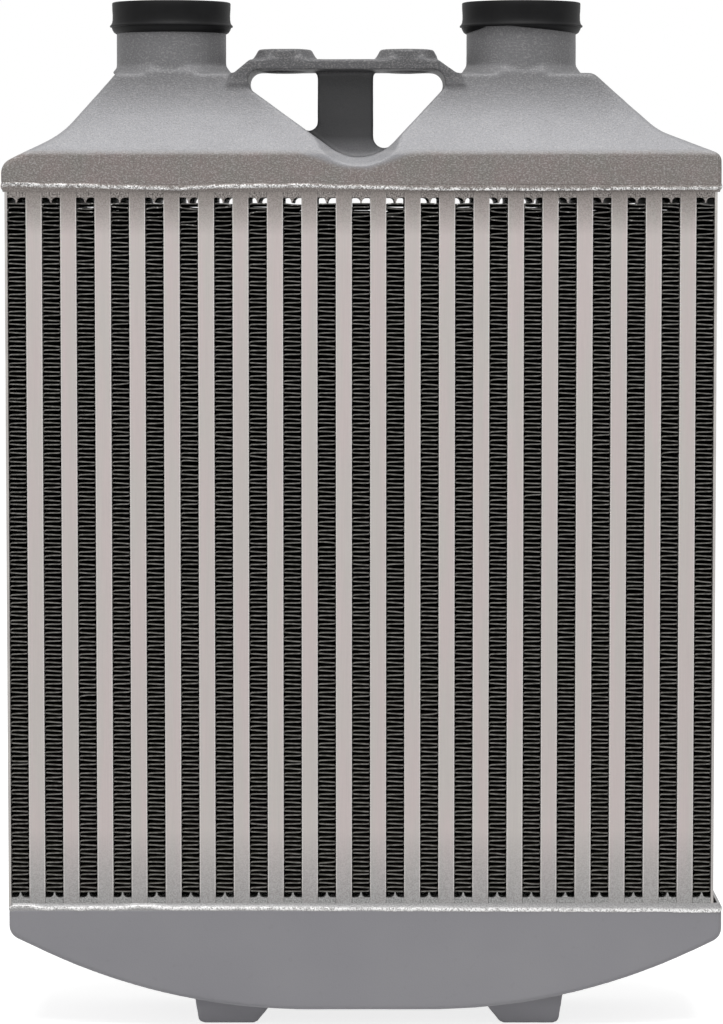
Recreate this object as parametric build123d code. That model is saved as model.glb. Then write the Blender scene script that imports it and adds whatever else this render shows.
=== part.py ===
from build123d import *
import math
import os

# A bar-and-plate charge-air cooler with both ports on its top tank. Air comes down through
# the left half of the core, turns round in the bottom tank and goes up through the right half.
# The frame is upright: +Z up, +X to the right seen from the front, and the front faces -Y.
# Sizes are in mm. X is measured from the core's centre line until the pieces are written.

# --- Core: ambient channels and charge-air tubes side by side ---
channel_count = 21
channel_width = 9.5
bar_width = 7.3
sheet_thickness = 0.4
side_plate_thickness = 1.3
core_bottom = 64.0
core_top = 434.0
core_depth = 88.0
tube_width = bar_width + 2 * sheet_thickness
pitch = channel_width + tube_width
core_width = channel_count * channel_width + (channel_count - 1) * tube_width + 2 * side_plate_thickness
face_bar_depth = 6.0

# Header bars close an ambient channel at each end and point a nib at the fin.
header_height = 4.6
nib_width = 5.4
nib_height = 2.8

# Ambient fins: one folded strip in each channel.
fin_fold_count = 18
fin_strip_width = 0.6
fin_recess = 0.6

# Turbulators: a corrugated strip inside each charge-air tube.
turbulator_fold_count = 3
turbulator_strip = 0.5
turbulator_end_gap = 3.0

# --- Tanks ---
tank_depth = 90.0
tank_wall = 4.0
casting_edge = 1.4
weld_corner = 2.0
weld_above = 2.2
weld_below = 1.8
weld_bite = 1.5
weld_proud = 0.4
weld_edge = 1.2

# Top tank, seen from the front
skirt_left = -184.0
skirt_right = 184.3
skirt_top = 452.8
shoulder_z = 493.4
shoulder_left = -125.7
shoulder_right = 119.4
left_waist = (-153.6, 461.6)
right_waist = (152.2, 463.9)
left_skirt_corner_z = 446.8
right_skirt_corner_z = 451.4
skirt_radii = (8.0, 5.0)
waist_radii = (45.0, 30.0)
shoulder_radii = (2.0, 6.0)
shoulder_depth = 59.0
flare_top = 490.7
flare_radius = 70.0
divider_thickness = 5.0

# Necks and their rubber collars
neck_x = (-98.5, 83.2)
neck_radius = 28.5
bore_radius = 25.5
neck_top = 528.4
neck_root_reach = 3.0
neck_root_height = 4.3
root_lean = 60.0
collar_top = 530.4
collar_bottom = 514.2
collar_radius = 30.7
collar_flange_radius = 31.9
collar_flange_z = 518.0

# Valley between the two halves, bridged by the mounting strap and its web
valley_point = (2.0, 442.0)
valley_left_corner = -70.5
valley_right_corner = 51.3
valley_corner_radii = (6.0, 6.4)
valley_radius = 24.3
valley_relief_width = 5.0
valley_relief_start = 38.5
strap_top = 500.3
strap_bottom = 494.9
strap_left = -57.0
strap_right = 39.2
strap_depth = 63.0
arm_knee_z = 492.5
arm_foot_z = 487.2
arm_knee = (-66.3, 50.4)
arm_foot = (-69.0, 53.0)
web_left = -22.6
web_right = 6.4
web_thickness = 6.0
web_root = 3.0
left_web_foot = 4.5
right_web_foot = 5.6

# Mounting pads on the strap
pad_x = (-39.2, 23.6)
pad_width = 28.2
pad_top = 505.6
pad_root_reach = 2.6
pad_root_height = 4.2
pad_edge = 0.5
under_boss_radius = 10.5
under_boss_height = 1.0
pad_hole_radius = 4.25

# Bottom tank, seen from the front
return_left = -182.0
return_right = 186.5
return_floor = 9.9
return_slope = math.tan(math.radians(25.6))
return_floor_left = -100.2
return_floor_right = 107.4
return_floor_radius = 320.0
return_corner_radius = 7.5
feet_middle = 9.15
foot_outer = 93.7
foot_inner = 63.7
foot_draft = 3.0
foot_lead_in = 8.0
foot_depth = 56.0
foot_edge_radius = 2.5

# The bottom tank overhangs the core on the right, so the part's middle lies off the core's.
part_middle = (skirt_left + return_right) / 2


def prism(sketch, depth):
    """A front-view sketch (X, Z) made as deep as stated, half on each side of Y = 0."""
    return extrude(Plane.XZ * sketch, amount=depth / 2, both=True)


def rounded(points, radii):
    """A closed outline through the points, with a radius of its own at each corner."""
    return make_face(FilletPolyline(*points, radius=radii, close=True))


def channel_x(number):
    return (number - (channel_count + 1) / 2) * pitch


def tube_x(number):
    return channel_x(number) + pitch / 2


def valley_gap():
    """The open triangle under the strap: its two lower sides are the valley's slopes."""
    points = [(valley_left_corner, strap_bottom), valley_point, (valley_right_corner, strap_bottom)]
    return rounded(points, [valley_corner_radii[0], valley_radius, valley_corner_radii[1]])


def tank_front(bottom):
    """Front outline of the top tank's body, before the valley is taken out."""
    points = [
        (skirt_left, bottom),
        (skirt_left, left_skirt_corner_z),
        left_waist,
        (shoulder_left, shoulder_z),
        (shoulder_right, shoulder_z),
        right_waist,
        (skirt_right, right_skirt_corner_z),
        (skirt_right, bottom),
    ]
    left = [skirt_radii[0], waist_radii[0], shoulder_radii[0]]
    right = [shoulder_radii[1], waist_radii[1], skirt_radii[1]]
    return rounded(points, [0, *left, *right, 0])


def tank_side(bottom):
    """Side outline: an upright skirt, a hollow flare and the narrow shoulder."""
    skirt_y = tank_depth / 2
    shoulder_y = shoulder_depth / 2
    half = Polyline((0, bottom), (skirt_y, bottom), (skirt_y, skirt_top))
    half += RadiusArc((skirt_y, skirt_top), (shoulder_y, flare_top), flare_radius)
    half += Polyline((shoulder_y, flare_top), (shoulder_y, shoulder_z), (0, shoulder_z), (0, bottom))
    face = make_face(half)
    return face + mirror(face, about=Plane.YZ)


def softened(body, size):
    """The cast body with its outer edges broken, apart from the rim and the edges that run front to back."""
    edges = []
    for edge in body.edges():
        box = edge.bounding_box()
        level = box.size.Z < 0.01
        if box.size.Y > shoulder_depth / 2 or box.max.Z < core_top + 0.01:
            continue
        if box.min.Z > shoulder_z - size * 2 or (level and box.min.Z > skirt_top + 0.01):
            continue
        edges.append(edge)
    return chamfer(edges, size)


def valley_relief():
    """The mouth of the valley, which opens out to the front and back faces of the skirt."""
    mouth = tank_depth / 2 + 1
    inner = Plane.XZ.offset(valley_relief_start) * valley_gap()
    outer = Plane.XZ.offset(mouth) * offset(valley_gap(), amount=valley_relief_width)
    front = loft([inner, outer], ruled=True)
    return front + mirror(front, about=Plane.XZ)


def tank_shell():
    """Hollow cast body of the top tank, open to the core, with a wall between its two halves."""
    body = prism(tank_front(core_top), 2 * tank_depth)
    body = softened(body & along_x(tank_side(core_top)), casting_edge)
    body = body - prism(valley_gap(), 2 * tank_depth) - valley_relief()
    rim = core_top - 2 * tank_wall
    room = prism(offset(tank_front(rim) - valley_gap(), amount=-tank_wall), 2 * tank_depth)
    room &= along_x(offset(tank_side(rim), amount=-tank_wall))
    divider = Box(divider_thickness, tank_depth, 4 * tank_wall + valley_radius)
    return body - (room - divider.moved(Location((0, 0, core_top + divider.bounding_box().size.Z / 2))))


def along_x(sketch):
    """A side-view sketch (Y, Z) drawn out well past both ends of the part."""
    return extrude(Plane.YZ * sketch, amount=core_width, both=True)


def upright(radius, low, high, x):
    """A cylinder on a vertical axis at x."""
    return Pos(x, 0, (low + high) / 2) * Cylinder(radius, high - low)


def leaning(depth, base):
    """A ridge along X whose front and back lean in from base, to cut roots back where the ledge is narrow."""
    lean = math.tan(math.radians(root_lean))
    height = 2 * neck_root_height
    top = depth / 2 - height / lean
    side = [(-depth / 2, base), (depth / 2, base), (top, base + height), (-top, base + height)]
    return along_x(make_face(Polyline(*side, close=True)))


def neck_foot(x):
    """The tapered root of a neck, which dies away where the neck reaches the shoulder's faces."""
    low, high = shoulder_z, shoulder_z + neck_root_height
    inside, wall, toe = neck_radius - 1, neck_radius, neck_radius + neck_root_reach
    section = Polyline((inside, low), (toe, low), (wall, high), (inside, high), close=True)
    ring = Pos(x, 0, 0) * revolve(Plane.XZ * make_face(section), axis=Axis.Z)
    ends = prism(tank_front(core_top), shoulder_depth)
    return ring & leaning(shoulder_depth, shoulder_z) & Pos(0, 0, neck_root_height) * ends


def neck(x):
    """One port: a round neck on a tapered root."""
    return upright(neck_radius, shoulder_z - tank_wall, neck_top, x) + neck_foot(x)


def strap():
    """The strap that bridges the valley, with an arm running down into each half."""
    outline = Polyline(
        (arm_foot[0], arm_foot_z),
        (arm_knee[0], arm_knee_z),
        (strap_left, strap_top),
        (strap_right, strap_top),
        (arm_knee[1], arm_knee_z),
        (arm_foot[1], arm_foot_z),
        close=True,
    )
    return prism(make_face(outline), strap_depth) - prism(valley_gap(), 2 * strap_depth)


def web():
    """The thin web between the strap and the valley's floor, with a window each side of it."""
    slope_left = (strap_bottom - valley_point[1]) / (valley_point[0] - valley_left_corner)
    slope_right = (strap_bottom - valley_point[1]) / (valley_right_corner - valley_point[0])
    left = [
        (valley_left_corner, strap_bottom),
        (web_left, strap_bottom),
        (web_left, strap_bottom - slope_left * (web_left - valley_left_corner)),
    ]
    right = [
        (valley_right_corner, strap_bottom),
        (web_right, strap_bottom),
        (web_right, strap_bottom - slope_right * (valley_right_corner - web_right)),
    ]
    windows = rounded(left, [valley_corner_radii[0], web_root, left_web_foot])
    windows += rounded(right, [valley_corner_radii[1], web_root, right_web_foot])
    return prism(offset(valley_gap(), amount=1) - windows, web_thickness)


def pad(x):
    """A raised mounting pad: flush with the strap's faces at its ends, with a sloping root."""
    flat = SlotOverall(strap_depth, pad_width, rotation=90)
    foot = SlotOverall(strap_depth + 2 * pad_root_reach, pad_width + 2 * pad_root_reach, rotation=90)
    boss = chamfer(extrude(flat, amount=pad_top - strap_top).edges().group_by(Axis.Z)[-1], pad_edge)
    root = loft([foot, Pos(0, 0, pad_root_height) * flat])
    root = Pos(x, 0, strap_top) * root & leaning(strap_depth, strap_top)
    body = Pos(x, 0, strap_top) * boss + root
    reach = Box(strap_right - strap_left, strap_depth, 2 * (pad_top - strap_bottom))
    body &= Pos((strap_left + strap_right) / 2, 0, strap_top) * reach
    return body + upright(under_boss_radius, strap_bottom - under_boss_height, strap_top, x)


def top_tank():
    """One casting: hollow body, two ports, strap, web and two mounting pads."""
    body = tank_shell() + strap() + web()
    for x in neck_x:
        body += neck(x)
        body -= upright(bore_radius, shoulder_z - tank_wall, neck_top + 1, x)
    for x in pad_x:
        body += pad(x)
        body -= upright(pad_hole_radius, strap_bottom - 2 * under_boss_height, pad_top + 1, x)
    return body - top_weld()


def weld_ring(seam, side, left, right):
    """A weld bead round the seam between the core and a tank; side is +1 where the tank is above."""
    low = seam - (weld_below if side > 0 else weld_above)
    width = right - left + 2 * weld_proud
    depth = tank_depth + 2 * weld_proud
    height = weld_above + weld_below
    bead = Box(width, depth, height)
    bead = chamfer(bead.edges().filter_by(Axis.Z), weld_corner)
    bead = chamfer(bead.edges().filter_by(Plane.XY), weld_edge)
    bead = Pos((left + right) / 2, 0, low + height / 2) * bead
    core = Pos(0, 0, (core_top + core_bottom) / 2) * Box(core_width, core_depth, core_top - core_bottom)
    inside = Pos(0, 0, seam) * Box(core_width - 2 * weld_bite, core_depth - 2 * weld_bite, 4 * height)
    return bead - core - inside


def top_weld():
    return weld_ring(core_top, 1, skirt_left, skirt_right)


def bottom_weld():
    return weld_ring(core_bottom, -1, min(return_left, -core_width / 2), return_right)


def return_front(rim):
    """Front outline of the bottom tank: a flat floor that sweeps up to both ends."""
    points = [
        (return_left, rim),
        (return_left, return_floor + return_slope * (return_floor_left - return_left)),
        (return_floor_left, return_floor),
        (return_floor_right, return_floor),
        (return_right, return_floor + return_slope * (return_right - return_floor_right)),
        (return_right, rim),
    ]
    floor_radius, corner = return_floor_radius, return_corner_radius
    return rounded(points, [0, corner, floor_radius, floor_radius, corner, 0])


def foot(side):
    """A cast lug that the cooler stands on: upright on its outer side, sloped on its inner one."""
    top = return_floor + foot_lead_in
    outline = Polyline(
        (feet_middle + side * (foot_outer + foot_draft), top),
        (feet_middle + side * foot_outer, 0),
        (feet_middle + side * foot_inner, 0),
        (feet_middle + side * (foot_inner - foot_lead_in), return_floor),
        (feet_middle + side * (foot_inner - foot_lead_in), top),
        close=True,
    )
    lug = prism(make_face(outline), foot_depth)
    return fillet(lug.edges().group_by(Axis.Z)[0].filter_by(Axis.Y), foot_edge_radius)


def bottom_tank():
    """One hollow casting, open to the core, with two feet under it."""
    body = prism(return_front(core_bottom), tank_depth)
    edges = []
    for edge in body.edges():
        box = edge.bounding_box()
        if box.size.Y < 0.01 and box.min.Z < core_bottom - 0.01:
            edges.append(edge)
    body = chamfer(edges, casting_edge) + foot(-1) + foot(1)
    room = offset(return_front(core_bottom + 2 * tank_wall), amount=-tank_wall)
    return body - prism(room, tank_depth - 2 * tank_wall) - bottom_weld()


def collar(x):
    """A moulded rubber collar stretched over a port: a waist for a clamp, and a flange with a thin lip."""
    outline = Polyline(
        (neck_radius, collar_bottom),
        (neck_radius, collar_top),
        (collar_radius, collar_top),
        (collar_radius, collar_flange_z),
        (collar_flange_radius, collar_flange_z),
        close=True,
    )
    return Pos(x, 0, 0) * revolve(Plane.XZ * make_face(outline), axis=Axis.Z)


def folded_strip(low, high, half_width, strip, folds):
    """Outline of a strip folded to and fro between two walls as it climbs from low to high."""
    step = (high - low) / folds
    near = []
    for i in range(folds + 1):
        x = -half_width if i % 2 else half_width - strip
        near.append((x, low + i * step))
    far = [(x + strip, z) for x, z in reversed(near)]
    return make_face(Polyline(*near, *far, close=True))


def ambient_fin(number):
    """The fin in one ambient channel: it touches both walls, and ends level with the header bars' nibs."""
    low = core_bottom + header_height + nib_height
    high = core_top - header_height - nib_height
    strip = folded_strip(low, high, channel_width / 2, fin_strip_width, fin_fold_count)
    return Pos(channel_x(number), 0, 0) * prism(strip, core_depth - 2 * fin_recess)


def header_bar(number, side):
    """The bar that closes one end of an ambient channel, with a nib towards the fin."""
    end = core_top if side > 0 else core_bottom
    inner = end - side * header_height
    outline = Polyline(
        (-channel_width / 2, end),
        (channel_width / 2, end),
        (channel_width / 2, inner),
        (nib_width / 2, inner),
        (0, inner - side * nib_height),
        (-nib_width / 2, inner),
        (-channel_width / 2, inner),
        close=True,
    )
    return Pos(channel_x(number), 0, 0) * prism(make_face(outline), core_depth)


def charge_tube(number):
    """One charge-air tube: two parting sheets held apart by a bar at the front and one at the back."""
    height = core_top - core_bottom
    middle = Pos(tube_x(number), 0, (core_top + core_bottom) / 2)
    sheet_x = (bar_width + sheet_thickness) / 2
    bar_y = (core_depth - face_bar_depth) / 2
    pieces = []
    for side in (-1, 1):
        pieces.append(middle * Pos(side * sheet_x, 0, 0) * Box(sheet_thickness, core_depth, height))
        pieces.append(middle * Pos(0, side * bar_y, 0) * Box(bar_width, face_bar_depth, height))
    return pieces


def turbulator(number):
    """The corrugated strip inside one charge-air tube; its folds run down the tube."""
    half_depth = core_depth / 2 - face_bar_depth
    strip = folded_strip(-half_depth, half_depth, bar_width / 2, turbulator_strip, turbulator_fold_count)
    height = core_top - core_bottom - 2 * turbulator_end_gap
    return Pos(tube_x(number), 0, core_bottom + turbulator_end_gap) * extrude(Plane.XY * strip, amount=height)


def side_plate(side):
    """The thin plate that closes the core at one side."""
    x = side * (core_width - side_plate_thickness) / 2
    height = core_top - core_bottom
    return Pos(x, 0, (core_top + core_bottom) / 2) * Box(side_plate_thickness, core_depth, height)


def write(node, pieces):
    """Write one node's solids, moved so that the part's middle stands on the origin."""
    solids = [Pos(-part_middle, 0, 0) * piece for piece in pieces]
    shape = solids[0] if len(solids) == 1 else Compound(children=solids)
    export_step(shape, f"parts/{node}.step")


os.makedirs("parts", exist_ok=True)
channels = range(1, channel_count + 1)
tubes = range(1, channel_count)
write("top_tank", [top_tank()])
write("bottom_tank", [bottom_tank()])
write("top_weld_bead", [top_weld()])
write("bottom_weld_bead", [bottom_weld()])
write("left_port_collar", [collar(neck_x[0])])
write("right_port_collar", [collar(neck_x[1])])
write("left_side_plate", [side_plate(-1)])
write("right_side_plate", [side_plate(1)])
write("top_header_bars", [header_bar(number, 1) for number in channels])
write("bottom_header_bars", [header_bar(number, -1) for number in channels])
write("left_pass_turbulators", [turbulator(number) for number in tubes if number <= channel_count // 2])
write("right_pass_turbulators", [turbulator(number) for number in tubes if number > channel_count // 2])
for number in channels:
    write(f"ambient_fin_{number:02d}", [ambient_fin(number)])
for number in tubes:
    write(f"charge_tube_{number:02d}", charge_tube(number))
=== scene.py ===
import math
import random

import bmesh
import bpy
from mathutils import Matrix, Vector, noise


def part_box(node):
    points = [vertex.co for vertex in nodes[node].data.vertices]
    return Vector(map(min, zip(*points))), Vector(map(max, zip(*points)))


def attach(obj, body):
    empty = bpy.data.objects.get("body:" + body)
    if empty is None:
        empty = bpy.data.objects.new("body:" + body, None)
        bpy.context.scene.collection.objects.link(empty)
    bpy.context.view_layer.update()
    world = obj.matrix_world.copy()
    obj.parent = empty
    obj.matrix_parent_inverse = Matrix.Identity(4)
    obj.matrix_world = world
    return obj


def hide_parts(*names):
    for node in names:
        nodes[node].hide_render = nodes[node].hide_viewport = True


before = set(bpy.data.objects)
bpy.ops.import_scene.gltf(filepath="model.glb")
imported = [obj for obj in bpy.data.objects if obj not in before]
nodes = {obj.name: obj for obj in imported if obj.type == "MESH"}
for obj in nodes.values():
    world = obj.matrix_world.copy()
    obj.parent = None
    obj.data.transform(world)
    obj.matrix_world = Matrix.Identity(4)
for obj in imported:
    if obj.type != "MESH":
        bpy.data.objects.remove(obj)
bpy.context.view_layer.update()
mm = 0.001


# Charge tubes
# Each of the 20 flat tubes is two rolled aluminium parting sheets, brazed to a drawn bar at its
# front and back. The bars keep the satin skin of the brazing furnace, and the sheets' cut edges
# show as two bright lines. Twenty of them stand side by side with the ambient fins between.


class Value:
    """A number or colour that changes over a surface. Arithmetic on it adds Math nodes."""

    def __init__(self, shader, socket):
        self.shader = shader
        self.socket = socket

    def math(self, operation, *operands):
        return self.shader.add("ShaderNodeMath", {"operation": operation}, dict(enumerate(operands)))

    def __add__(self, other):
        return self.math("ADD", self, other)

    def __radd__(self, other):
        return self.math("ADD", other, self)

    def __sub__(self, other):
        return self.math("SUBTRACT", self, other)

    def __rsub__(self, other):
        return self.math("SUBTRACT", other, self)

    def __mul__(self, other):
        return self.math("MULTIPLY", self, other)

    def __rmul__(self, other):
        return self.math("MULTIPLY", other, self)

    def __truediv__(self, other):
        return self.math("DIVIDE", self, other)

    def __mod__(self, other):
        return self.math("FLOORED_MODULO", self, other)

    def __abs__(self):
        return self.math("ABSOLUTE", self)

    def rise(self, start, end):
        """0 below start, 1 above end and straight between; start may be the higher one."""
        sockets = {"Value": self, "From Min": start, "From Max": end}
        return self.shader.add("ShaderNodeMapRange", {"clamp": True}, sockets)


class Nodes:
    """A node tree that grows by expressions on its values."""

    def __init__(self, tree):
        self.tree = tree

    def add(self, kind, settings, sockets, output=0):
        """A new node: its settings are made first, and then its sockets are set or linked."""
        node = self.tree.nodes.new(kind)
        for name, value in settings.items():
            setattr(node, name, value)
        for socket, value in sockets.items():
            if isinstance(value, Value):
                self.tree.links.new(value.socket, node.inputs[socket])
            else:
                node.inputs[socket].default_value = value
        return Value(self, node.outputs[output])

    def place(self, axis=None):
        """Where a point of the surface is, in metres: all three, or one axis of 0, 1 or 2."""
        point = self.add("ShaderNodeTexCoord", {}, {}, output=3)
        return point if axis is None else self.add("ShaderNodeSeparateXYZ", {}, {0: point}, output=axis)

    def speckle(self, size, detail=2.0, stretch=(1, 1, 1)):
        """Soft noise from 0 to 1 whose spots are about as large as size, in metres."""
        scale = tuple(1 / (size * s) for s in stretch)
        point = self.add("ShaderNodeVectorMath", {"operation": "MULTIPLY"}, {0: self.place(), 1: scale})
        return self.add("ShaderNodeTexNoise", {}, {"Vector": point, "Scale": 1.0, "Detail": detail})

    def mix(self, factor, first, second):
        """From the first colour to the second as factor goes from 0 to 1."""
        sockets = {0: factor, 6: first, 7: second}
        return self.add("ShaderNodeMix", {"data_type": "RGBA"}, sockets, output=2)


class Finish(Nodes):
    """A surface finish: one Principled shader and the nodes that vary it."""

    def __init__(self, name, constants):
        self.material = bpy.data.materials.new(name)
        self.material.use_nodes = True
        super().__init__(self.material.node_tree)
        self.skin = self.tree.nodes["Principled BSDF"]
        for socket, value in constants.items():
            self.skin.inputs[socket].default_value = value

    def paint(self, socket, value):
        """Let a value drive one socket of the skin."""
        self.tree.links.new(value.socket, self.skin.inputs[socket])

    def relief(self, height, depth):
        """Bump from a height of 0 to 1 that stands for depth, in metres."""
        sockets = {"Height": height, "Distance": depth, "Strength": 1.0}
        self.paint("Normal", self.add("ShaderNodeBump", {}, sockets))

    def wear_on(self, *names):
        """Put this finish on the nodes named, in place of what they had."""
        for name in names:
            nodes[name].data.materials.clear()
            nodes[name].data.materials.append(self.material)


def shade(red, green, blue):
    """A colour given as it looks, 0 to 255, as the linear colour that a shader takes."""
    linear = []
    for part in (red, green, blue):
        c = part / 255
        linear.append(c / 12.92 if c <= 0.04045 else ((c + 0.055) / 1.055) ** 2.4)
    return (*linear, 1.0)


tube_names = [f"charge_tube_{number:02d}" for number in range(1, 21)]
tube_low, tube_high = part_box(tube_names[0])
tube_middle = (tube_low.x + tube_high.x) / 2
pitch = (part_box(tube_names[1])[0] - tube_low).x
sheet_line = 0.5 * mm
browned_end = 24 * mm
greyed_end = 40 * mm
core_low, core_high = tube_low.z, tube_high.z

bar = Finish("satin_core_bar", {"Metallic": 0.2})
across = abs((bar.place(0) - tube_middle + pitch / 2) % pitch - pitch / 2)
half_tube = (tube_high.x - tube_low.x) / 2
edge_line = across.rise(half_tube - sheet_line, half_tube - 0.6 * sheet_line)
blush = bar.speckle(14 * mm, 1.0, (0.5, 1, 6)).rise(0.38, 0.62)
skin = bar.mix(blush, shade(201, 190, 188), shade(197, 191, 187))
top_shade = bar.place(2).rise(core_high - browned_end, core_high)
low_shade = bar.place(2).rise(core_low + greyed_end, core_low)
skin = bar.mix(top_shade * 0.95, skin, shade(134, 127, 122))
skin = bar.mix(low_shade * 0.95, skin, shade(166, 166, 166))
near_end = top_shade + low_shade * 0.7
soot = bar.speckle(0.6 * mm, 3.0).rise(0.42, 0.6) * near_end * 0.7
skin = bar.mix(soot, skin, shade(104, 98, 94))
streak = bar.speckle(0.5 * mm, 3.0, (1, 1, 40))
skin = bar.mix(streak.rise(0.3, 0.7) * 0.14, skin, shade(150, 146, 144))
clean_edge = edge_line * (1 - top_shade.rise(0.5, 0.9)) * (1 - low_shade.rise(0.75, 0.9)) * 0.75
bar.paint("Base Color", bar.mix(clean_edge, skin, shade(224, 221, 218)))
bar.paint("Roughness", 0.42 + bar.speckle(3 * mm) * 0.16)
bar.relief(streak * 0.4 + bar.speckle(1.0 * mm) * (0.3 + near_end), 0.06 * mm)
bar.wear_on(*tube_names)


# Header bars
# A drawn bar with a nib closes each end of each ambient channel: 21 at the top and 21 at the
# bottom, brazed between the tubes. The tank welds run over their ends, so they are grey and
# mottled from the heat, and a dark hairline parts each of them from the tubes beside it.


def new_piece(name, points, faces, node, smooth_angle=35):
    """A closed mesh that rides on the part and stands for a CAD node."""
    mesh = bpy.data.meshes.new(name)
    mesh.from_pydata(points, [], faces)
    work = bmesh.new()
    work.from_mesh(mesh)
    bmesh.ops.recalc_face_normals(work, faces=work.faces)
    work.to_mesh(mesh)
    work.free()
    mesh.shade_smooth()
    mesh.set_sharp_from_angle(angle=math.radians(smooth_angle))
    piece = bpy.data.objects.new(name, mesh)
    bpy.context.scene.collection.objects.link(piece)
    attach(piece, "root")
    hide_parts(node)
    return piece


def band(first, count):
    """The faces between two closed outlines of count points that follow each other from first."""
    faces = []
    for i in range(count):
        j = (i + 1) % count
        faces.append((first + i, first + j, first + count + j, first + count + i))
    return faces


def through(outline, front, back, first):
    """The points and faces of an outline of (x, z) drawn straight back from y = front to y = back."""
    count = len(outline)
    points = [(x, front, z) for x, z in outline] + [(x, back, z) for x, z in outline]
    front_face = tuple(first + i for i in range(count))
    back_face = tuple(first + count + i for i in reversed(range(count)))
    return points, [front_face, back_face, *band(first, count)]


header = Finish("heat_mottled_header", {"Metallic": 0.2})
mottle = header.speckle(0.8 * mm, 4.0).rise(0.36, 0.64)
at_top = header.place(2).rise(core_low, core_high)
dull = header.mix(at_top, shade(123, 122, 121), shade(70, 64, 60))
bright = header.mix(at_top, shade(176, 176, 175), shade(168, 161, 157))
header_skin = header.mix(mottle, dull, bright)
gap_side = abs((header.place(0) - tube_middle) % pitch - pitch / 2)
channel_half = (pitch - 2 * half_tube) / 2
hairline_width = 0.45 * mm
hairline = gap_side.rise(channel_half - hairline_width, channel_half - 0.1 * mm)
hairline = hairline * header.speckle(1.6 * mm).rise(0.4, 0.55) * 0.8
header.paint("Base Color", header.mix(hairline, header_skin, shade(44, 40, 38)))
header.paint("Roughness", 0.34 + mottle * 0.22)
header.relief(mottle, 0.14 * mm)

nib_height = 2.8 * mm
flank_height = 2.55 * mm
nib_foot, nib_tip = 2.45 * mm, 0.35 * mm
flank_steps = 6
corner_step = 0.5 * mm
channel_count = 21
for name, side in (("top_header_bars", 1), ("bottom_header_bars", -1)):
    low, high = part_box(name)
    outer = high.z if side > 0 else low.z
    tip = low.z if side > 0 else high.z
    shoulder = tip + side * nib_height
    points, faces = [], []
    for number in range(channel_count):
        x = tube_middle - pitch / 2 + number * pitch
        nib_right = []
        for i in range(flank_steps + 1):
            turn = math.radians(90 * i / flank_steps)
            out = nib_tip + (nib_foot - nib_tip) * (1 - math.sin(turn))
            fall = flank_height * (1 - math.cos(turn))
            nib_right.append((x + out, shoulder - side * fall))
        nib_left = [(2 * x - px, pz) for px, pz in reversed(nib_right)]
        step_z = shoulder - side * corner_step
        outline = [(x - channel_half, outer), (x + channel_half, outer), (x + channel_half, step_z)]
        outline += [(x + channel_half - corner_step, shoulder), *nib_right, (x, tip), *nib_left]
        outline += [(x - channel_half + corner_step, shoulder), (x - channel_half, step_z)]
        more_points, more_faces = through(outline, low.y, high.y, len(points))
        points += more_points
        faces += more_faces
    piece = new_piece(name + "_drawn", points, faces, name)
    piece.data.materials.append(header.material)


# Side plates
# One thin aluminium plate closes the core on each side. It is brazed to the outermost fin and
# keeps the same furnace skin as the bars.

plate = Finish("furnace_skin_plate", {"Metallic": 0.5})
cloud = plate.speckle(22 * mm, 3.0).rise(0.3, 0.7)
roll_mark = plate.speckle(0.6 * mm, 2.0, (1, 1, 60))
plate_skin = plate.mix(cloud, shade(172, 168, 166), shade(192, 188, 184))
plate.paint("Base Color", plate.mix(roll_mark.rise(0.4, 0.8) * 0.3, plate_skin, shade(140, 137, 135)))
plate.paint("Roughness", 0.38 + cloud * 0.16)
plate.relief(roll_mark, 0.05 * mm)
plate.wear_on("left_side_plate", "right_side_plate")


# Turbulators
# A corrugated aluminium strip fills each tube and stirs the charge air. It is brazed to both
# sheets. The tubes and the tanks shut the strips in, so they show only through the ports.

strip = Finish("turbulator_strip", {"Metallic": 0.8})
stain = strip.speckle(6 * mm, 3.0)
strip.paint("Base Color", strip.mix(stain, shade(150, 150, 150), shade(196, 196, 194)))
strip.paint("Roughness", 0.3 + stain * 0.2)
strip.relief(strip.speckle(0.4 * mm), 0.03 * mm)
strip.wear_on("left_pass_turbulators", "right_pass_turbulators")


# Ambient fins
# One long aluminium strip is folded to and fro in each channel: 162 webs, 2.2 mm apart.
# The folding tool kinks every second web at both walls and leaves the others straight, and the
# strip snakes up and down on its way back. Its cut edges are bare. Its faces carry painted shade,
# darker the deeper they lie, and its edges carry painted shade close to the channel walls.

web_count = 162
sheet = 0.6 * mm
straight_fall = 0.22 * mm
kink_left, kink_right = 0.46 * mm, 0.36 * mm
bend_left, bend_right = 0.02 * mm, 0.1 * mm
bend_in = 1.15 * mm
bent_zone = 22 * mm
snake = 1.3 * mm
snake_fade = 7 * mm
slip_limit, tilt_limit, sag_limit = 0.13, 0.1, 0.12
top_bend, stray_bend, stray_share = 2.2, 2.0, 0.02
straight_share = 0.8
layers = ((-1.0, 0.0), (-0.7, 0.0), (-0.3, -1.0), (0.3, 1.0), (0.7, 0.0), (1.0, 0.0))

fin = Finish("edge_lit_fin", {"Metallic": 0.0, "Roughness": 0.5, "Specular IOR Level": 0.2})
fin_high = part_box("ambient_fin_01")[1]
from_face = fin_high.y - abs(fin.place(1))
cut_edge = from_face.rise(0.5 * mm, 0.05 * mm)
patch = fin.speckle(2.2 * mm, 3.0).rise(0.35, 0.65)
edge_skin = fin.mix(patch, shade(92, 91, 87), shade(136, 134, 130))
channel_side = abs((fin.place(0) - tube_middle) % pitch - pitch / 2)
# Painted shade: the cut edges are painted dark close to the channel walls, where the folds turn away.
wall_shade = channel_side.rise(channel_half - 1.0 * mm, channel_half - 0.5 * mm)
edge_skin = fin.mix(wall_shade * 0.7, edge_skin, shade(30, 29, 27))
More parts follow.
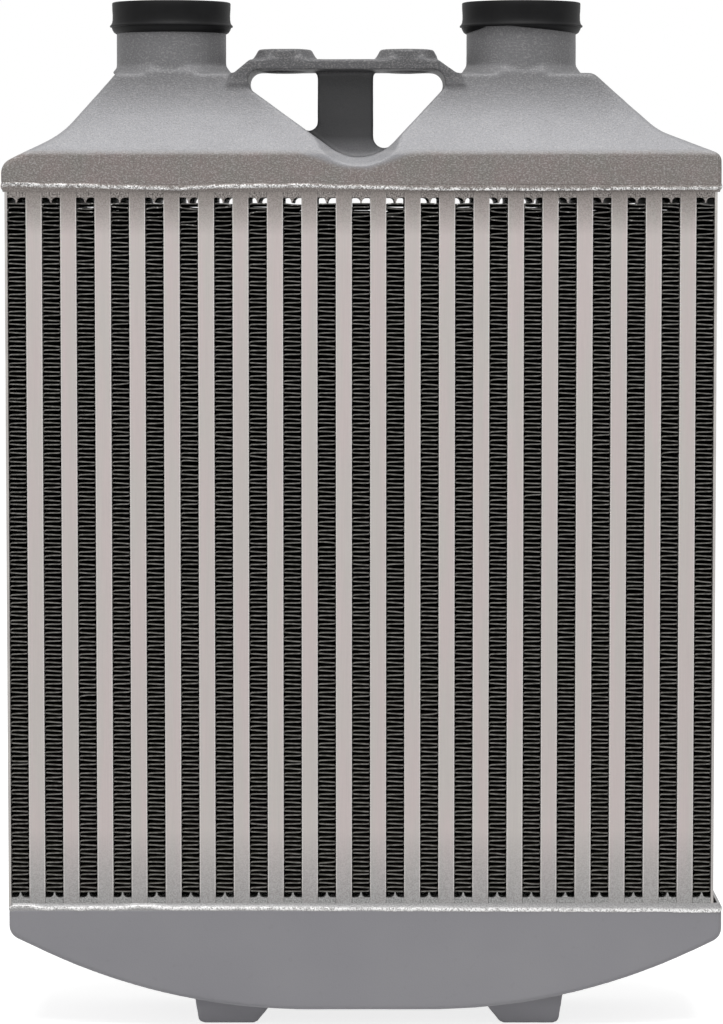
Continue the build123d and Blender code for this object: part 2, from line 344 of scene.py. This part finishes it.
# Painted shade: the fold faces are painted darker the deeper they lie, down to near black.
drab = fin.mix(fin.speckle(30 * mm, 1.0).rise(0.4, 0.6), shade(92, 90, 78), shade(90, 80, 78))
painted_shade_skin = fin.mix(from_face.rise(1 * mm, 14 * mm), drab, shade(12, 12, 12))
near_top = fin.place(2).rise(fin_high.z - bent_zone, fin_high.z)
edge_skin = fin.mix(near_top.rise(0, 0.5) * 0.5, edge_skin, shade(58, 56, 54))
glint = near_top * fin.speckle(1.2 * mm, 2.0, (1.4, 1, 0.7)).rise(0.62, 0.67)
glint = glint * from_face.rise(4 * mm, 0)
fin_skin = fin.mix(cut_edge, painted_shade_skin, edge_skin)
fin.paint("Base Color", fin.mix(glint * 0.9, fin_skin, shade(215, 212, 208)))
fin.relief(fin.speckle(0.5 * mm), 0.03 * mm)

for number in range(1, channel_count + 1):
    name = f"ambient_fin_{number:02d}"
    low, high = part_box(name)
    chance = random.Random(number)
    reach = (high.x - low.x) / 2 - sheet / 2
    x = (low.x + high.x) / 2
    floor_z, roof_z = low.z + sheet / 2, high.z - sheet / 2
    step = (roof_z - floor_z) / (web_count - 1)
    route = []
    for web in range(web_count):
        z = floor_z + web * step
        from_top = (roof_z - z) / bent_zone
        stray = stray_bend if chance.random() < stray_share else 0.0
        bent = 1.0 + top_bend * max(0.0, 1.0 - from_top) + stray
        slip = chance.uniform(-slip_limit, slip_limit) * mm * bent
        tilt = chance.uniform(-tilt_limit, tilt_limit) * mm * bent
        sag = chance.uniform(-sag_limit, sag_limit) * mm * bent
        if (web + number) % 2:
            heights = (-kink_left, -bend_left, 0.5 * (bend_right - bend_left), bend_right, kink_right)
        else:
            inner_fall = straight_share * straight_fall
            heights = (straight_fall, inner_fall, 0.0, -inner_fall, -straight_fall)
        places = (-reach, bend_in - reach, 0.0, reach - bend_in, reach)
        points = []
        for px, height in zip(places, heights):
            lift = height + slip + tilt * px / reach + sag * (1 - (px / reach) ** 2)
            points.append((px, min(max(z + lift, floor_z), roof_z)))
        route += points if (web + number) % 2 else reversed(points)
    under, over = [], []
    for i, (px, pz) in enumerate(route):
        before, after = route[max(i - 1, 0)], route[min(i + 1, len(route) - 1)]
        dx, dz = after[0] - before[0], after[1] - before[1]
        length = math.hypot(dx, dz)
        nx, nz = -dz / length * sheet / 2, dx / length * sheet / 2
        wall = reach + sheet / 2
        under.append((max(min(px - nx, wall), -wall), min(max(pz - nz, low.z), high.z)))
        over.append((max(min(px + nx, wall), -wall), min(max(pz + nz, low.z), high.z)))
    outline = under + over[::-1]
    count = len(outline)
    points = []
    for depth, swing in layers:
        for px, pz in outline:
            room_left = high.z - pz if swing > 0 else pz - low.z
            fade = max(0.0, min(1.0, room_left / snake_fade))
            points.append((x + px, depth * high.y, pz + swing * snake * fade))
    faces = []
    for layer in range(len(layers) - 1):
        faces += band(layer * count, count)
    last = (len(layers) - 1) * count
    for i in range(count // 2 - 1):
        faces.append((i, i + 1, count - 2 - i, count - 1 - i))
        faces.append((last + count - 1 - i, last + count - 2 - i, last + i + 1, last + i))
    piece = new_piece(f"folded_fin_{number:02d}", points, faces, name, 30)
    piece.data.materials.append(fin.material)


# Top tank
# One sand casting in aluminium alloy: both ports, the strap with its two bolt pads and the web
# under it are one piece with the body. Its skin is grainy all over, every edge and root is
# rounded as the mould leaves it, and the skirt above the weld is rougher and browner.


def cast(name, node, grain_size, rounding, keep, unevenness):
    """A copy of a casting's CAD solid with its edges rounded and its faces slightly uneven."""
    mesh = nodes[node].data.copy()
    work = bmesh.new()
    work.from_mesh(mesh)
    bmesh.ops.remove_doubles(work, verts=work.verts, dist=0.001 * mm)
    work.to_mesh(mesh)
    work.free()
    rough = bpy.data.objects.new(name + "_rough", mesh)
    bpy.context.scene.collection.objects.link(rough)
    remesh = rough.modifiers.new("remesh", "REMESH")
    remesh.mode = "VOXEL"
    remesh.voxel_size = grain_size
    smooth = rough.modifiers.new("smooth", "SMOOTH")
    smooth.factor = 0.5
    smooth.iterations = rounding
    fewer = rough.modifiers.new("fewer", "DECIMATE")
    fewer.ratio = keep
    dressed = bpy.data.meshes.new_from_object(rough.evaluated_get(bpy.context.evaluated_depsgraph_get()))
    bpy.data.objects.remove(rough)
    dressed.name = name
    dressed.materials.clear()
    moves = []
    for vertex in dressed.vertices:
        swell = noise.noise(vertex.co / (9 * mm)) + 0.5 * noise.noise(vertex.co / (4 * mm))
        moves.append(vertex.co - vertex.normal * (0.5 + 0.5 * swell) * unevenness)
    for vertex, place in zip(dressed.vertices, moves):
        vertex.co = place
    dressed.shade_smooth()
    piece = bpy.data.objects.new(name, dressed)
    bpy.context.scene.collection.objects.link(piece)
    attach(piece, "root")
    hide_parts(node)
    return piece


skirt_top = 452.8 * mm
shoulder_z = 493.4 * mm
valley_x = -8.9 * mm
rim_x = -3.5 * mm
sand = Finish("sand_cast_skin", {"Metallic": 0.15})
grain = sand.speckle(0.6 * mm, 3.0)
fleck = sand.speckle(0.8 * mm, 2.0, (1.3, 1, 0.9))
height = sand.place(2) + (sand.speckle(9 * mm, 2.0) - 0.5) * 2 * mm
tone = sand.speckle(25 * mm, 2.0).rise(0.3, 0.7)
flare_skin = sand.mix(tone, shade(140, 140, 143), shade(147, 147, 150))
# The upper, steeper part of the flare is painted darker: partly painted shade, partly a grainier skin.
upper_flare_shade_and_grain = height.rise(skirt_top + 18 * mm, skirt_top + 36 * mm)
flare_skin = sand.mix(upper_flare_shade_and_grain, flare_skin, shade(117, 117, 119))
# Above the shoulder the ports and strap are painted darker: partly painted shade, partly a darker skin.
above_shoulder = height.rise(shoulder_z - 5 * mm, shoulder_z + 1 * mm)
neck_shade_and_skin = sand.mix(grain, shade(104, 104, 106), shade(114, 114, 116))
sand_skin = sand.mix(above_shoulder, flare_skin, neck_shade_and_skin)
# Painted shade: the strap between the ports is painted darker still.
between_necks = abs(sand.place(0) - valley_x).rise(62 * mm, 57 * mm)
strap_shade = between_necks * sand.place(2).rise(shoulder_z - 8 * mm, shoulder_z - 2 * mm)
sand_skin = sand.mix(strap_shade, sand_skin, shade(81, 81, 83))
bruise = sand.speckle(16 * mm, 3.0)
skirt_skin = sand.mix(bruise.rise(0.35, 0.65), shade(130, 119, 116), shade(123, 119, 114))
valley_dip = abs(sand.place(0) - rim_x).rise(30 * mm, 6 * mm) * 8 * mm
on_skirt = (height + valley_dip + (grain - 0.5) * 4 * mm).rise(skirt_top + 0.8 * mm, skirt_top - 1.8 * mm)
sand_skin = sand.mix(on_skirt, sand_skin, skirt_skin)
pits = grain.rise(0.5, 0.66) * (0.25 + 0.35 * on_skirt + 0.15 * upper_flare_shade_and_grain)
sand_skin = sand.mix(pits, sand_skin, shade(78, 74, 73))
sparks = fleck.rise(0.5, 0.64) * (0.25 + 0.25 * on_skirt)
sand_skin = sand.mix(sparks, sand_skin, shade(176, 173, 172))
# Painted highlight: a lighter, grainy band along the crease above the skirt, where its rounded edge catches
# the light.
crease_highlight = abs(sand.place(2) - skirt_top + 0.3 * mm).rise(1.5 * mm, 0.4 * mm)
sand_skin = sand.mix(crease_highlight * grain.rise(0.35, 0.6) * 0.4, sand_skin, shade(178, 176, 176))
# Painted shade: the web under the strap is painted dark, standing for the strap's shadow.
web_shade = abs(sand.place(1)).rise(4.4 * mm, 4.1 * mm) * abs(sand.place(0) - valley_x).rise(36 * mm, 33 * mm)
web_shade = web_shade * sand.place(2).rise(shoulder_z - 42 * mm, shoulder_z - 32 * mm)
web_shade = web_shade * sand.place(2).rise(shoulder_z + 1.5 * mm, shoulder_z)
sand_skin = sand.mix(web_shade * 0.9, sand_skin, shade(74, 74, 75))
sand.paint("Base Color", sand_skin)
sand.paint("Roughness", 0.44 + grain * 0.2)
sand.relief(grain * 0.6 + fleck * 0.4, 0.3 * mm)

top = cast("top_tank_casting", "top_tank", 0.9 * mm, 6, 0.35, 0.16 * mm)
top.data.materials.append(sand.material)


# Bottom tank
# A smoother aluminium casting, boat-shaped below, with two lugs to stand on. The charge air
# turns round in it. It is welded to the core round its rim.

smooth_cast = Finish("fine_cast_skin", {"Metallic": 0.15})
cloud = smooth_cast.speckle(60 * mm, 2.0).rise(0.3, 0.7)
fine = smooth_cast.speckle(0.7 * mm, 2.0)
cast_skin = smooth_cast.mix(cloud, shade(134, 133, 138), shade(140, 139, 143))
tarnish = smooth_cast.speckle(5 * mm, 3.0).rise(0.62, 0.75) * 0.25
cast_skin = smooth_cast.mix(tarnish, cast_skin, shade(122, 120, 122))
on_foot = smooth_cast.place(2).rise(13 * mm, 8 * mm)
cast_skin = smooth_cast.mix(on_foot * 0.6, cast_skin, shade(156, 155, 161))
smooth_cast.paint("Base Color", smooth_cast.mix(fine * 0.2, cast_skin, shade(152, 151, 154)))
smooth_cast.paint("Roughness", 0.44 + fine * 0.1)
smooth_cast.relief(fine, 0.06 * mm)

bottom = cast("bottom_tank_casting", "bottom_tank", 1.0 * mm, 5, 0.3, 0.12 * mm)
bottom.data.materials.append(smooth_cast.material)


# Weld beads
# Each tank is welded to the core by hand, in one run right round. The bead is a narrow, lumpy
# ridge of aluminium that wanders a little up and down. Its crest carries a painted highlight, and
# it is dull where the oxide lies on it.

bead_finish = Finish("lumpy_weld", {"Metallic": 0.4})
spatter = bead_finish.speckle(0.7 * mm, 3.0)
at_top = bead_finish.place(2).rise(core_low, core_high)
# Painted highlight: the bright crest colour, varied by the spatter and stronger on the bottom bead.
crest_brightness = spatter.rise(0.35, 0.6) + (1 - at_top) * 0.3
bright = bead_finish.mix(crest_brightness, shade(78, 74, 71), shade(240, 239, 238))
oxide = bead_finish.speckle(4.5 * mm, 3.0, (1, 1, 0.5)).rise(0.5, 0.64)
bright = bead_finish.mix(oxide * (0.25 + at_top * 0.35), bright, shade(128, 122, 119))
burnt = bead_finish.mix(at_top, shade(146, 145, 145), shade(112, 105, 101))
burnt_fleck = bead_finish.mix(at_top, shade(178, 177, 177), shade(156, 150, 146))
burnt = bead_finish.mix(spatter.rise(0.4, 0.62) * 0.5, burnt, burnt_fleck)
# A point attribute marks the crest, which takes the painted highlight; the flanks keep the burnt colour.
crest_highlight = bead_finish.add("ShaderNodeAttribute", {"attribute_name": "crest_highlight"}, {}, output=2)
crest_highlight = (crest_highlight + (spatter - 0.5) * (0.4 + at_top * 0.8)).rise(0.15, 0.8)
bead_finish.paint("Base Color", bead_finish.mix(crest_highlight, burnt, bright))
bead_finish.paint("Roughness", 0.3 + spatter * 0.2)
bead_finish.relief(spatter, 0.25 * mm)

bead_step = 0.6 * mm
ripple_length = 2.7 * mm
turn_radius = 2.4 * mm
turn_steps = 6
proud = 0.38 * mm
line_inset = 0.4 * mm
lowest_climb, highest_climb = -1.4, 2.8
elsewhere_climb = 0.8
drift_length, lump_length, rough_length = 30 * mm, 7 * mm, 1.6 * mm
# How far each kind of unevenness moves the bead, in mm, outward and along the core. Towards the
# left side the lumps grow by the last pair, which begins lumpy_from mm from the middle.
ripple_out, ripple_up = 0.12, 0.15
rough_out, rough_up = 0.05, 0.15
lump_out, lump_up = 0.1, 0.2
more_out, more_up = 0.14, 0.3
lumpy_from, lumpy_over = 110, 70
# Each point of the section, across the seam: how far out it is, how far from the core, how free
# it is to swell, and how much of the painted highlight on the crest it has.
root, crest, buried = -1.75, 0.2, 3.4
bead_section = (
    (-2.3, root, 0.0, 0.0),
    (-0.9, root, 0.0, 0.0),
    (-0.75, -1.3, 0.2, 0.0),
    (-0.4, -0.8, 0.6, 0.0),
    (0.0, -0.4, 1.0, 0.5),
    (0.26, 0.0, 1.0, 1.0),
    (0.28, 0.4, 1.0, 1.0),
    (0.1, 0.9, 0.8, 0.5),
    (0.02, 1.5, 0.4, 0.1),
    (-0.15, 2.1, 0.1, 0.0),
    (-0.6, buried, 0.0, 0.0),
    (-2.3, buried, 0.0, 0.0),
)
# How far the front run strays from the seam, as (x, climb) in mm.
top_path = ((-184, 2.9), (-164, 1.9), (-134, 0.9), (-93, -1.0), (-75, 0.6), (-26, 1.7), (-12, 0.8))
top_path += ((35, -0.8), (96, -1.1), (163, -0.3), (184, -0.4))
low_path = ((-184, -0.4), (-174, -0.7), (-166, 0.9), (-125, 0.6), (-119, -0.6), (-110, -0.5))
low_path += ((-103, 0.6), (-60, 0.8), (60, 1.8), (98, 1.9), (125, 2.5), (150, 2.0), (168, 2.6), (184, 2.4))


def along_path(path, x):
    """The climb of a path at x, straight between its points."""
    for (x0, climb0), (x1, climb1) in zip(path, path[1:]):
        if x <= x1:
            return climb0 + (climb1 - climb0) * max(0.0, x - x0) / (x1 - x0)
    return path[-1][1]


def swell(x, y, length, seed):
    """Smooth noise of about -1 to 1 round the core, with lumps of the given length."""
    full_range = 1.6
    return full_range * noise.noise(Vector((x / length, y / length, seed)))


def closed_ring(sections, count):
    """The faces of a closed run of sections, each of them a closed outline of count points."""
    faces = []
    for i in range(sections):
        a, b = i * count, ((i + 1) % sections) * count
        for k in range(count):
            m = (k + 1) % count
            faces.append((a + k, b + k, b + m, a + m))
    return faces


for name, side, path, seed in (
    ("top_weld_bead", 1, top_path, 31.5),
    ("bottom_weld_bead", -1, low_path, 52.5),
):
    low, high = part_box(name)
    seam = core_high if side > 0 else core_low
    half_x = (high.x - low.x) / 2 - line_inset
    half_y = (high.y - low.y) / 2 - line_inset
    centre_x = (high.x + low.x) / 2
    runs = (2 * (half_x - turn_radius), 2 * (half_y - turn_radius))
    route = []
    for corner in range(4):
        heading = math.radians(90 * corner)
        along = (math.cos(heading), math.sin(heading))
        out = (math.sin(heading), -math.cos(heading))
        run = runs[corner % 2]
        reach = half_y if corner % 2 == 0 else half_x
        steps = round(run / bead_step)
        for i in range(steps):
            s = -run / 2 + run * i / steps
            route.append((along[0] * s + out[0] * reach, along[1] * s + out[1] * reach, out))
        hub_along, hub_out = run / 2, reach - turn_radius
        hub = (along[0] * hub_along + out[0] * hub_out, along[1] * hub_along + out[1] * hub_out)
        for i in range(turn_steps):
            angle = heading - math.pi / 2 + math.radians(90 * i / turn_steps)
            normal = (math.cos(angle), math.sin(angle))
            route.append((hub[0] + turn_radius * normal[0], hub[1] + turn_radius * normal[1], normal))
    ring = len(route)
    ripples = round(ring * bead_step / ripple_length)
    points, shines = [], []
    for i, (px, py, normal) in enumerate(route):
        front = max(0.0, -normal[1])
        stray = along_path(path, px / mm) * front + elsewhere_climb * (1 - front)
        stray += 0.2 * swell(px, py, drift_length, seed)
        lump = swell(px, py, lump_length, seed + 2)
        rough = swell(px, py, rough_length, seed + 3)
        ripple = abs(math.sin(math.pi * i * ripples / ring + 0.6 * lump)) - 0.6
        start_left = max(0.0, min(1.0, (-px / mm - lumpy_from) / lumpy_over))
        grow = ripple_out * ripple + (lump_out + more_out * start_left) * lump + rough_out * rough
        climb = stray + ripple_up * ripple + (lump_up + more_up * start_left) * lump + rough_up * rough
        climb = max(lowest_climb, min(highest_climb, climb))
        for out, rise, free, shine in bead_section:
            reach = min(out + free * grow, proud / mm) * mm
            if rise < crest:
                rise = root + (rise - root) * (crest - root + climb) / (crest - root)
            else:
                rise = buried - (buried - rise) * (buried - crest - climb) / (buried - crest)
            place_x, place_y = centre_x + px + normal[0] * reach, py + normal[1] * reach
            points.append((place_x, place_y, seam + side * rise * mm))
            shines.append(shine * (1 + 0.25 * lump))
    faces = closed_ring(ring, len(bead_section))
    piece = new_piece(name + "_rippled", points, faces, name, 60)
    piece.data.attributes.new("crest_highlight", "FLOAT", "POINT").data.foreach_set("value", shines)
    piece.data.materials.append(bead_finish.material)


# Port collars
# A moulded rubber sleeve is stretched over each port, with a waist where a hose clamp would sit
# and a flange at its foot. On the right one part of the thin lip below the flange has rolled
# under as it was pushed on.

rubber = Finish("moulded_rubber", {"Metallic": 0.0, "Specular IOR Level": 0.14})
pore = rubber.speckle(0.7 * mm, 3.0)
haze = rubber.speckle(9 * mm, 3.0).rise(0.4, 0.75)
rubber.paint("Base Color", rubber.mix(haze, shade(11, 11, 12), shade(19, 19, 20)))
rubber.paint("Roughness", 0.46 + pore * 0.16)
rubber.relief(pore, 0.05 * mm)

collar_sides = 144
collar_bore = 28.5 * mm
lip_height = 3.8 * mm
# The rolled part of the lip, by the cosine of the angle round the port: where it begins to grow
# back on the left and on the right, over what span, and how much of the lip shows between.
roll_left, left_span = -0.66, 0.34
roll_right, right_span = -0.2, 1.2
rolled_lip, roll_ease, front_ease = 0.1, 0.8, 6
for name, rolled in (("left_port_collar", False), ("right_port_collar", True)):
    low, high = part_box(name)
    x, y = (low.x + high.x) / 2, (low.y + high.y) / 2
    flange = (high.x - low.x) / 2
    flange_z = low.z + lip_height
    points = []
    for i in range(collar_sides):
        angle = 2 * math.pi * i / collar_sides
        across_port, forward = math.cos(angle), -math.sin(angle)
        lip = 1.0
        if rolled and forward > 0:
            left = max(0.0, (roll_left - across_port) / left_span)
            right = max(0.0, (across_port - roll_right) / right_span)
            lip = rolled_lip + (1 - rolled_lip) * min(1.0, max(left, right) ** roll_ease)
            front = min(1.0, forward * front_ease)
            lip = lip * front + 1.0 - front
        drop = lip * lip_height
        section = [
            (collar_bore, high.z),
            (flange - 1.9 * mm, high.z),
            (flange - 1.4 * mm, high.z - 0.15 * mm),
            (flange - 1.15 * mm, high.z - 0.6 * mm),
            (flange - 1.2 * mm, high.z - 3.5 * mm),
            (flange - 1.4 * mm, high.z - 6.5 * mm),
            (flange - 1.35 * mm, flange_z + 3.4 * mm),
            (flange - 1.05 * mm, flange_z + 1.7 * mm),
            (flange - 0.5 * mm, flange_z + 0.8 * mm),
            (flange - 0.1 * mm, flange_z + 0.55 * mm),
            (flange, flange_z + 0.3 * mm),
            (flange, flange_z - 0.15 * mm),
            (flange - 0.25 * mm, flange_z - 0.35 * mm),
            (flange - 0.9 * mm, flange_z - 0.42 * mm),
            (flange - 0.95 * mm, flange_z - 0.42 * mm - 0.1 * drop),
            (flange - 1.3 * mm, flange_z - 0.45 * mm - 0.35 * drop),
            (flange - 2.1 * mm, flange_z - 0.45 * mm - 0.7 * drop),
            (collar_bore + 0.35 * mm, flange_z - 0.4 * mm - 0.88 * drop),
            (collar_bore, flange_z - 0.3 * mm - 0.85 * drop),
            (collar_bore, flange_z + 6 * mm),
        ]
        points += [(x + r * across_port, y - r * forward, max(z, low.z)) for r, z in section]
    faces = closed_ring(collar_sides, len(section))
    piece = new_piece(name + "_moulded", points, faces, name, 50)
    piece.data.materials.append(rubber.material)


# Floor, light and camera
# The cooler stands on a plain pale floor in a white room. One wide soft lamp hangs high above
# and in front, and a weak one fills from the left.


def looked_at(surface):
    """1 for the rays by which the eye, metal or glass sees a surface, and 0 for the light on it."""
    camera_ray, glossy_ray, transmission_ray = 0, 3, 6
    rays = (camera_ray, glossy_ray, transmission_ray)
    path = [surface.add("ShaderNodeLightPath", {}, {}, output=ray) for ray in rays]
    return (path[0] + path[1] + path[2]).rise(0, 1)


far = 12.0
floor_mesh = bpy.data.meshes.new("floor")
floor_mesh.from_pydata([(-far, -far, 0), (far, -far, 0), (far, far, 0), (-far, far, 0)], [], [(0, 1, 2, 3)])
floor = bpy.data.objects.new("floor", floor_mesh)
bpy.context.scene.collection.objects.link(floor)
ground = Finish("white_floor", {"Roughness": 0.9, "Specular IOR Level": 0.0, "Emission Strength": 1.0})
ground.skin.inputs["Base Color"].default_value = shade(195, 195, 195)
ground.paint("Emission Color", ground.mix(looked_at(ground), shade(0, 0, 0), shade(230, 230, 230)))
floor_mesh.materials.append(ground.material)

room_light = 0.4
world = bpy.data.worlds.new("white_room")
world.use_nodes = True
bpy.context.scene.world = world
room = Nodes(world.node_tree)
levels = {"Value": looked_at(room), "To Min": room_light, "To Max": 1.0}
strength = room.add("ShaderNodeMapRange", {}, levels)
background = room.tree.nodes["Background"]
background.inputs["Color"].default_value = shade(255, 255, 255)
room.tree.links.new(strength.socket, background.inputs["Strength"])

for lamp_name, place, aim, size, power in (
    ("overhead_softbox", (0.0, -0.85, 2.3), (0.0, 0.0, 0.3), 1.6, 46.0),
    ("left_fill", (-1.6, -1.9, 1.0), (0.0, 0.0, 0.27), 1.2, 4.0),
):
    lamp_data = bpy.data.lights.new(lamp_name, "AREA")
    lamp_data.size = size
    lamp_data.energy = power
    lamp = bpy.data.objects.new(lamp_name, lamp_data)
    lamp.location = place
    lamp.rotation_euler = (Vector(aim) - Vector(place)).to_track_quat("-Z", "Y").to_euler()
    bpy.context.scene.collection.objects.link(lamp)

looking_down = 4.1
camera_data = bpy.data.cameras.new("camera")
camera_data.sensor_fit = "VERTICAL"
camera_data.sensor_height = 24
camera_data.lens = 96.8
camera = bpy.data.objects.new("camera", camera_data)
camera.location = (-0.0010, -2.1586, 0.4200)
camera.rotation_euler = (math.radians(90 - looking_down), 0, 0)
bpy.context.scene.collection.objects.link(camera)
bpy.context.scene.camera = camera
bpy.context.scene.view_settings.view_transform = "Standard"
